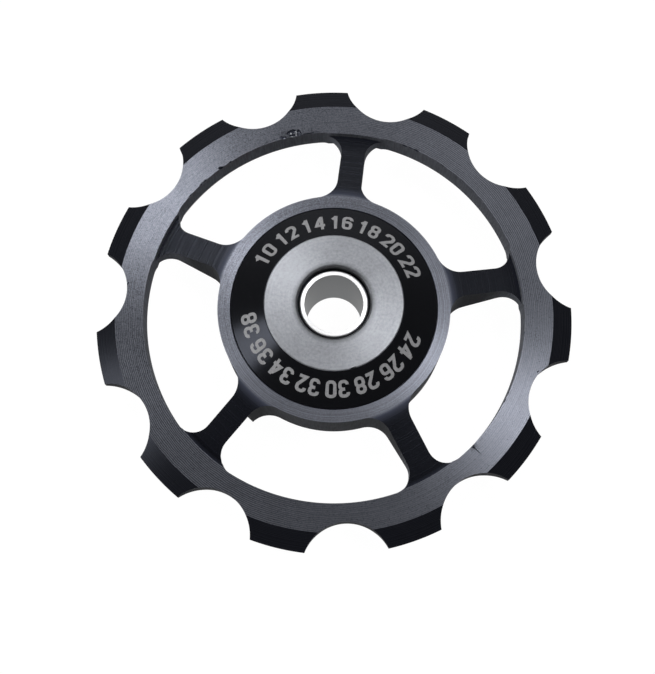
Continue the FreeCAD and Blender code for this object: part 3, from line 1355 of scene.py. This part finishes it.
@dataclass
class Cover:
    """Shallow turned cone over the bearing, with a pocket for the washer."""

    bore_r: float = 3.0
    boss_r: float = 4.5
    boss_z: float = 2.5
    inside_z: float = 2.7
    skirt_in_r: float = 8.2
    skirt_r: float = 9.03
    skirt_low_z: float = 2.35
    skirt_top_z: float = 2.79
    washer_r: float = 6.05
    lip_r: float = 6.09
    lip_z: float = 4.395
    pocket_z: float = 3.595
    edge_break: float = 0.025
    skirt_round: float = 0.06
    lip_round: float = 0.05
    finish: GlossBlack = GlossBlack("black_cover_anodising")

    def outline(self) -> list[Corner]:
        """The outline of the front cover.

        Returns:
            Its corners, from the top of the bore inside the pocket and round.
        """
        return [
            Corner(self.bore_r, self.boss_z, self.edge_break),
            Corner(self.boss_r, self.boss_z, self.edge_break),
            Corner(self.boss_r, self.inside_z),
            Corner(self.skirt_in_r, self.inside_z),
            Corner(self.skirt_in_r, self.skirt_low_z, self.edge_break),
            Corner(self.skirt_r, self.skirt_low_z, self.edge_break),
            Corner(self.skirt_r, self.skirt_top_z, self.skirt_round),
            Corner(self.lip_r, self.lip_z, self.lip_round),
            Corner(self.washer_r, self.lip_z),
            Corner(self.washer_r, self.pocket_z),
            Corner(self.bore_r, self.pocket_z, self.edge_break),
        ]

    def build(self) -> None:
        """Turns, dresses and settles both covers."""
        material = self.finish.make()
        for side in Side:
            name = side.name.lower()
            cover = Lathe().turn(f"{name}_cover_cone", [corner.on(side) for corner in self.outline()])
            dress(cover, material)
            settle(cover, Body.AXLE, Slot.BLACK_COVER, f"{name}_cover")


PEN = 0.88
FIGURE_WIDTH = 2.0
FIGURE_HEIGHT = 4.0
FIGURE_ARC_STEPS = 4
LONGEST_RUN = 0.8


@dataclass(frozen=True)
class Stroke:
    """One stroke of the pen, in the units of the grid that the figures are drawn on.

    corners: across, up and the radius that rounds the corner.
    closed: whether the stroke ends where it starts.
    """

    corners: tuple[tuple[float, float, float], ...]
    closed: bool = False

    def path(self) -> list[Vector]:
        """Points along the stroke's middle, in order.

        Returns:
            The points, close enough together to follow the cone.
        """
        bends: list[Vector] = []
        for number, (x, y, radius) in enumerate(self.corners):
            here = Vector((x, y))
            if not radius:
                bends.append(here)
                continue
            back = Vector(self.corners[number - 1][:2]) - here
            ahead = Vector(self.corners[(number + 1) % len(self.corners)][:2]) - here
            bends.extend(rounded_corner(here, back, ahead, radius, FIGURE_ARC_STEPS))
        ends = bends[1:] + bends[:1] if self.closed else bends[1:]
        points: list[Vector] = []
        for start, end in zip(bends, ends):
            parts = max(1, math.ceil((end - start).length / LONGEST_RUN))
            points.extend(start.lerp(end, part / parts) for part in range(parts))
        if not self.closed:
            points.append(bends[-1])
        return points

    def sweep(self, work: bmesh.types.BMesh, middle: Vector, unit: float) -> None:
        """Adds the flat strip that the pen leaves.

        Args:
            work: mesh that the strip goes into.
            middle: where the grid's origin goes.
            unit: size of a grid unit.
        """
        path = self.path()
        rails = []
        for number, here in enumerate(path):
            before = path[number - 1] if number or self.closed else here * 2 - path[1]
            last = number == len(path) - 1 and not self.closed
            after = here * 2 - path[-2] if last else path[(number + 1) % len(path)]
            arriving = (here - before).normalized().orthogonal()
            leaving = (after - here).normalized().orthogonal()
            across = (arriving + leaving).normalized()
            across *= PEN / 2 / across.dot(arriving)
            sides = [((here + way) * unit + middle).to_3d() for way in (across, -across)]
            rails.append([work.verts.new(side) for side in sides])
        following = rails[1:] + rails[:1] if self.closed else rails[1:]
        for (left, right), (far_left, far_right) in zip(rails, following):
            work.faces.new((left, right, far_right, far_left))


FIGURES: dict[str, tuple[Stroke, ...]] = {
    "0": (Stroke(((0, 0, 0.8), (2, 0, 0.8), (2, 4, 0.8), (0, 4, 0.8)), True),),
    "1": (Stroke(((1.2, -0.47, 0), (1.2, 4.47, 0))), Stroke(((0.3, 3.1, 0), (1.2, 3.95, 0)))),
    "2": (Stroke(((0, 3, 0), (0, 4, 0.8), (2, 4, 0.8), (2, 2.5, 0.5), (0.25, 0, 0), (2.3, 0, 0))),),
    "3": (
        Stroke(((0, 3.1, 0), (0, 4, 0.8), (2, 4, 0.8), (2, 2.1, 0.8), (0.7, 2.1, 0))),
        Stroke(((0.7, 2.1, 0), (2, 2.1, 0.8), (2, 0, 0.8), (0, 0, 0.8), (0, 0.9, 0))),
    ),
    "4": (
        Stroke(((1.75, -0.47, 0), (1.75, 4.47, 0))),
        Stroke(((1.5, 3.9, 0), (0.2, 1.1, 0), (2.6, 1.1, 0))),
    ),
    "6": (
        Stroke(((2, 3.1, 0), (2, 4, 0.8), (0, 4, 0.8), (0, 0, 0.8), (2, 0, 0.8), (2, 2.3, 0.8), (0, 2.3, 0))),
    ),
    "8": (
        Stroke(((0, 0, 0.8), (2, 0, 0.8), (2, 2.1, 0.8), (0, 2.1, 0.8)), True),
        Stroke(((0.1, 2.1, 0.8), (1.9, 2.1, 0.8), (1.9, 4, 0.8), (0.1, 4, 0.8)), True),
    ),
}


@dataclass(frozen=True)
class NumberRow:
    """Evenly spaced numbers along an arc of the cover, clockwise.

    first, last, step: the numbers.
    start_deg, end_deg: azimuths of the first and the last number.
    """

    first: int
    last: int
    step: int
    start_deg: float
    end_deg: float

    def places(self) -> list[tuple[int, float]]:
        """Each number with its azimuth in radians.

        Returns:
            The numbers in order.
        """
        numbers = list(range(self.first, self.last + 1, self.step))
        turn = (self.end_deg - self.start_deg) / (len(numbers) - 1)
        return [(number, math.radians(self.start_deg + i * turn)) for i, number in enumerate(numbers)]


@dataclass
class CoverNumbers:
    """Plain even numbers printed round the front cover, tops outwards."""

    cover: Cover
    rows: tuple[NumberRow, ...] = (
        NumberRow(10, 22, 2, 143.0, 27.0),
        NumberRow(24, 38, 2, 331.0, 194.0),
    )
    height: float = 1.6
    letter_gap: float = 0.5
    middle_r: float = 7.47
    proud: float = 0.012
    sunk: float = 0.02
    ink: Speckled = Speckled("pale_ink", (0.37, 0.37, 0.38), (0.27, 0.27, 0.28), 0.55, 7.0, 0.003)

    def strips(self) -> bpy.types.Object:
        """All strokes as flat solids on the unrolled cone, in metres.

        Returns:
            The strokes, overlapping where they cross.
        """
        work = bmesh.new()
        unit = self.height / (FIGURE_HEIGHT + PEN) * MM
        advance = FIGURE_WIDTH + PEN + self.letter_gap
        for row in self.rows:
            for number, azimuth in row.places():
                figures = str(number)
                for place, figure in enumerate(figures):
                    across = (place - (len(figures) - 1) / 2) * advance - FIGURE_WIDTH / 2
                    corner = Vector((across * unit - azimuth * self.middle_r * MM, -FIGURE_HEIGHT / 2 * unit))
                    for stroke in FIGURES[figure]:
                        stroke.sweep(work, corner, unit)
        thicken(work, (self.proud + self.sunk) * MM)
        return shown("flat_strokes", work)

    def joining(self, values: dict) -> bpy.types.NodeTree:
        """Node tree that joins overlapping strokes into clean figures.

        Args:
            values: what its inputs will be given, by name.

        Returns:
            The tree.
        """
        tree, given, result = geometry_tree("join_the_strokes", "Strokes", values, "Figures")
        figures = add_node(tree, "GeometryNodeRealizeInstances", {"Geometry": united(tree, given["Strokes"])})
        inked = add_node(tree, "GeometryNodeSetMaterial", {"Geometry": figures, "Material": given["Ink"]})
        tree.links.new(inked, result)
        return tree

    def wrap(self, mesh: bpy.types.Mesh) -> None:
        """Lays the flat figures on the cone.

        Args:
            mesh: the figures, changed in place.
        """
        cover = self.cover
        drop = cover.skirt_top_z - cover.lip_z
        run = cover.skirt_r - cover.lip_r
        slant = math.hypot(drop, run)
        along = Vector((run / slant, drop / slant))
        normal = Vector((-along.y, along.x))
        middle = Vector((self.middle_r, cover.lip_z + drop * (self.middle_r - cover.lip_r) / run)) * MM
        work = bmesh.new()
        work.from_mesh(mesh)
        bmesh.ops.triangulate(work, faces=work.faces)
        for vertex in work.verts:
            place = middle + along * vertex.co.y + normal * (vertex.co.z - self.sunk * MM)
            flat = polar(place.x, -vertex.co.x / middle.x)
            vertex.co = (flat.x, flat.y, place.y)
        bmesh.ops.recalc_face_normals(work, faces=work.faces)
        work.to_mesh(mesh)
        work.free()

    def build(self) -> None:
        """Writes, joins and wraps all the numbers."""
        strips = self.strips()
        values = {"Ink": self.ink.make()}
        mesh = grown_mesh(strips, self.joining(values), values)
        bpy.data.objects.remove(strips)
        self.wrap(mesh)
        smooth(mesh)
        settle(in_scene("cover_numbers", mesh), Body.AXLE, None)


@dataclass
class Washer:
    """Flat side washer in the cover's pocket."""

    hole_r: float = 3.18
    outer_r: float = 6.05
    face_z: float = 4.435
    thickness: float = 0.84
    edge: float = 0.1
    hole_break: float = 0.2
    back_break: float = 0.02
    nick_deg: float = 285.9
    nick_reach: float = 0.3
    nick_depth: float = 0.16
    nick_inset: float = 0.09
    finish: SatinSteel = SatinSteel("satin_washer")

    def knock(self, washer: bpy.types.Object) -> None:
        """Presses a small nick into the outer corner of a washer's face.

        Args:
            washer: the washer, changed in place.
        """
        middle = polar(self.outer_r * MM, math.radians(self.nick_deg))
        corner_r = (self.outer_r - self.nick_inset) * MM
        for vertex in washer.data.vertices:
            near = 1 - (vertex.co.xy - middle).length / (self.nick_reach * MM)
            upper = vertex.co.z > (self.face_z - self.thickness / 2) * MM
            if near > 0 and upper and vertex.co.xy.length > corner_r:
                press = -near * self.nick_depth * MM
                vertex.co += Vector((*(middle.normalized() * press), press))

    def build(self) -> None:
        """Turns, dresses and settles both washers."""
        material = self.finish.make()
        back = self.face_z - self.thickness
        outline = [
            Corner(self.hole_r, back, self.back_break),
            Corner(self.outer_r, back, self.back_break),
            Corner(self.outer_r, self.face_z, self.edge),
            Corner(self.hole_r, self.face_z, self.hole_break),
        ]
        for side in Side:
            name = side.name.lower()
            washer = Lathe().turn(f"{name}_washer_ring", [corner.on(side) for corner in outline])
            self.knock(washer)
            dress(washer, material)
            settle(washer, Body.AXLE, Slot.WASHER_STEEL, f"{name}_washer")


@dataclass
class AxleSleeve:
    """Bright sleeve that the bolt passes through."""

    bore_r: float = 2.55
    outer_r: float = 2.985
    end_z: float = 3.9
    outer_break: float = 0.14
    bore_break: float = 0.02
    end_finish: GroundSteel = GroundSteel("bright_sleeve", (0.9, 0.9, 0.91), 0.42, 9.0)
    bore_finish: GroundSteel = GroundSteel("reamed_bore", (0.2, 0.205, 0.21), 0.38, 5.0, 0.55)

    def build(self) -> None:
        """Turns, dresses and settles the sleeve."""
        front = [
            Corner(self.bore_r, self.end_z, self.bore_break),
            Corner(self.outer_r, self.end_z, self.outer_break),
        ]
        sleeve = Lathe().turn("axle_sleeve_turned", both_faces(front))
        dress(sleeve, self.end_finish.make(), self.bore_finish.make())
        for face in sleeve.data.polygons:
            if face.center.xy.length < (self.bore_r + self.bore_break / 4) * MM:
                face.material_index = 1
        settle(sleeve, Body.AXLE, Slot.SLEEVE_STEEL, "axle_sleeve")


@dataclass
class Bearing:
    """The sealed bearing, whose CAD solids are shown as they are."""

    ball_count: int = 8
    steel: GroundSteel = GroundSteel("ground_bearing_steel")
    ceramic: Speckled = Speckled(
        "dark_ceramic", (0.045, 0.045, 0.05), (0.07, 0.07, 0.075), 0.12, 6.0, 0.0004
    )
    plastic: Speckled = Speckled(
        "moulded_cage", (0.62, 0.58, 0.48), (0.70, 0.66, 0.56), 0.5, 3.0, 0.004
    )
    rubber: Speckled = Speckled(
        "moulded_rubber", (0.012, 0.012, 0.013), (0.022, 0.022, 0.023), 0.65, 8.0, 0.006
    )

    def build(self, nodes: dict[str, bpy.types.Object]) -> None:
        """Dresses the bearing's nodes.

        Args:
            nodes: CAD nodes by name.
        """
        finishes = {
            self.steel: ["bearing_outer_ring", "bearing_inner_ring"],
            self.ceramic: [f"bearing_ball_{i + 1}" for i in range(self.ball_count)],
            self.plastic: ["ball_cage"],
            self.rubber: ["front_seal", "rear_seal"],
        }
        for finish, names in finishes.items():
            material = finish.make()
            for name in names:
                node = nodes[name]
                for slot in node.material_slots:
                    slot.link = "OBJECT"
                    slot.material = material
                LOG.info("%s: dressed with %s", name, material.name)


@dataclass(frozen=True)
class Softbox:
    """A rectangular lamp that looks at the wheel.

    azimuth, elevation: direction from the wheel, in degrees.
    distance: metres from the wheel.
    width, height: size in metres.
    radiance: brightness of its surface, where 1 is white.
    """

    name: str
    azimuth: float
    elevation: float
    distance: float
    width: float
    height: float
    radiance: float
    colour: Colour = (1.0, 1.0, 1.0)

    def hang(self) -> None:
        """Makes the lamp."""
        lamp = bpy.data.lights.new(self.name, "AREA")
        lamp.shape = "RECTANGLE"
        lamp.size = self.width
        lamp.size_y = self.height
        lamp.energy = self.radiance * WATTS_PER_RADIANCE * self.width * self.height
        lamp.color = self.colour
        holder = in_scene(self.name, lamp)
        azimuth, elevation = math.radians(self.azimuth), math.radians(self.elevation)
        flat = polar(math.cos(elevation), azimuth)
        away = Vector((flat.x, flat.y, math.sin(elevation)))
        holder.location = away * self.distance
        holder.rotation_euler = away.to_track_quat("Z", "Y").to_euler()
        holder.visible_camera = False


@dataclass
class Studio:
    """Pale floor with a low cove, soft lamps and the camera of the photograph.

    floor_r, cove_r, wall: sizes of the floor and of the cove round it, in metres.
    middle_share: radius of the floor's middle face over the floor's.
    paper_glow, glow_share: strength of the glow, and its share of what the eye sees.
    camera_back: direction opposite to the one in which the camera looks.
    focal_px: focal length in pixels of the photograph.
    clip_start, clip_end: nearest and farthest that the camera sees, in metres.
    """

    floor_z: float = -4.445
    floor_r: float = 0.7
    floor_sides: int = 96
    middle_share: float = 0.02
    cove_r: float = 0.15
    cove_steps: int = 12
    wall: float = 0.12
    paper: Colour = (0.82, 0.82, 0.82)
    paper_glow: float = 1.04
    glow_share: float = 0.95
    world_grey: float = 0.115
    lamps: tuple[Softbox, ...] = (
        Softbox("left_key", 122.8, 62.0, 0.9, 0.18, 0.18, 10.6),
        Softbox("right_key", 8.0, 70.0, 0.9, 0.16, 0.16, 14.8),
        Softbox("low_left_strip", 190.0, 35.0, 0.9, 0.34, 0.15, 10.5),
        Softbox("back_panel", 90.0, 62.0, 0.9, 0.60, 0.35, 1.12),
        Softbox("right_back_panel", 50.0, 55.0, 0.9, 0.40, 0.40, 0.45),
        Softbox("right_fill", 15.0, 60.0, 0.9, 0.35, 0.35, 0.7),
    )
    camera_place: tuple[float, float, float] = (-0.144, -24.85, 101.88)
    camera_back: tuple[float, float, float] = (0.00405707, -0.21810551, 0.97591676)
    focal_px: float = 1167.0
    sensor_mm: float = 36.0
    clip_start: float = 0.005
    clip_end: float = 5.0

    def floor(self) -> None:
        """Makes the floor with its cove, white to the eye, with a faint shadow."""
        work = bmesh.new()
        low = self.floor_z * MM
        profile = [(self.middle_share * self.floor_r, low), (self.floor_r, low)]
        for step in range(1, self.cove_steps + 1):
            angle = math.pi / 2 * step / self.cove_steps
            rise = self.cove_r * (1 - math.cos(angle))
            profile.append((self.floor_r + self.cove_r * math.sin(angle), low + rise))
        profile.append((self.floor_r + self.cove_r, low + self.cove_r + self.wall))
        hoops = [level_ring(work, radius, height, self.floor_sides) for radius, height in profile]
        work.faces.new(hoops[0])
        bridge(work, hoops[::-1])
        for face in work.faces:
            face.normal_update()
        floor = shown("studio_floor", work)
        dress(floor, self.floor_material())

    def floor_material(self) -> bpy.types.Material:
        """White paper that glows for the eye and for reflections alone.

        Returns:
            The new material.
        """
        material = bpy.data.materials.new("studio_paper")
        material.use_nodes = True
        tree = material.node_tree
        tree.nodes.clear()
        put = partial(add_node, tree)
        rays = tree.nodes.new("ShaderNodeLightPath").outputs
        seen = rays["Is Camera Ray"]
        for ray in (rays["Is Glossy Ray"], rays["Is Transmission Ray"]):
            seen = put("ShaderNodeMath", {0: seen, 1: ray}, operation="MAXIMUM")
        share = put("ShaderNodeMath", {0: seen, 1: self.glow_share}, operation="MULTIPLY")
        paper = put("ShaderNodeBsdfDiffuse", {"Color": self.paper})
        glow = put("ShaderNodeEmission", {"Strength": self.paper_glow})
        mix = put("ShaderNodeMixShader", {"Fac": share, 1: paper, 2: glow})
        tree.links.new(mix, tree.nodes.new("ShaderNodeOutputMaterial").inputs["Surface"])
        return material

    def world(self) -> None:
        """Even dim grey room."""
        world = bpy.data.worlds.new("studio_room")
        bpy.context.scene.world = world
        world.use_nodes = True
        room = world.node_tree.nodes["Background"]
        room.inputs["Color"].default_value = (1.0, 1.0, 1.0, 1.0)
        room.inputs["Strength"].default_value = self.world_grey

    def camera(self) -> None:
        """Makes the camera of the photograph."""
        data = bpy.data.cameras.new("photo_camera")
        data.sensor_fit = "AUTO"
        data.sensor_width = self.sensor_mm
        data.lens = self.focal_px / PHOTO_LONG_SIDE_PX * data.sensor_width
        data.clip_start = self.clip_start
        data.clip_end = self.clip_end
        camera = in_scene("photo_camera", data)
        back = Vector(self.camera_back).normalized()
        right = Vector((0.0, 1.0, 0.0)).cross(back).normalized()
        up = back.cross(right)
        turn = Matrix((right, up, back)).transposed().to_4x4()
        camera.matrix_world = Matrix.Translation(Vector(self.camera_place) * MM) @ turn
        bpy.context.scene.camera = camera

    def build(self) -> None:
        """Sets up floor, lamps, world and camera."""
        self.floor()
        for lamp in self.lamps:
            lamp.hang()
        self.world()
        self.camera()
        bpy.context.scene.view_settings.view_transform = "Standard"
        LOG.info("studio ready with %d lamps", len(self.lamps))


def main() -> None:
    """Builds every piece in order."""
    logging.basicConfig(level=logging.INFO, format="%(name)s: %(message)s")
    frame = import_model()
    ToothedWheel().build()
    cover = Cover()
    cover.build()
    CoverNumbers(cover).build()
    Washer().build()
    AxleSleeve().build()
    Bearing().build(frame["nodes"])
    Studio().build()


if __name__ == "__main__":
    main()
